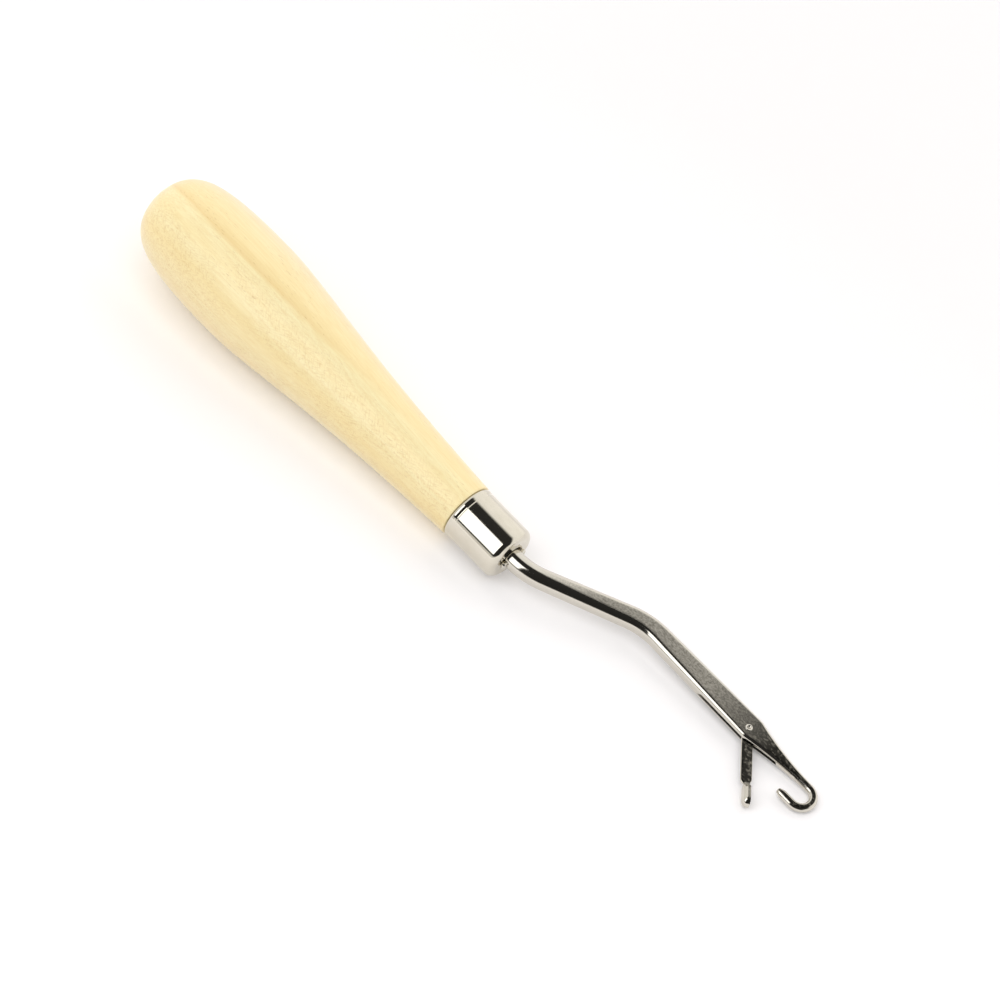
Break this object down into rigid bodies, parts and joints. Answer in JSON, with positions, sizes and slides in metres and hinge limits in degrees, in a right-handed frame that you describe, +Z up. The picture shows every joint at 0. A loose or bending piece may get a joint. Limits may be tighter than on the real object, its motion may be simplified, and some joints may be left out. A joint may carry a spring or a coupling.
{
  "type": "latch hook tool",
  "caption": "Latch hook with a turned wooden handle, a metal ferrule, a cranked steel shank that ends in an open hook, and a hinged latch that closes it.",
  "frame": {"origin": "on the table, under the middle of the lying tool's bounding box", "axes": "+X along the handle towards the hook, +Y towards the side the shank is cranked to, +Z up from the table"},
  "size_m": [0.165, 0.0236, 0.022],
  "materials": {
    "pale_wood": "satin",
    "polished_nickel": "polished",
    "plated_steel": "polished"
  },
  "bodies": {
    "tool": {"handle": "pale_wood", "ferrule": "polished_nickel", "shank": "plated_steel", "latch_rivet": "plated_steel"},
    "latch": {"latch": "plated_steel"}
  },
  "joints": [
    {"name": "latch_pivot", "type": "hinge", "parent": "tool", "child": "latch", "pos_m": [0.06439, 0.00875, 0.00209], "axis": [0.0719, -0.0107, 0.9974], "range_deg": [-115.4, 24.6]}
  ]
}
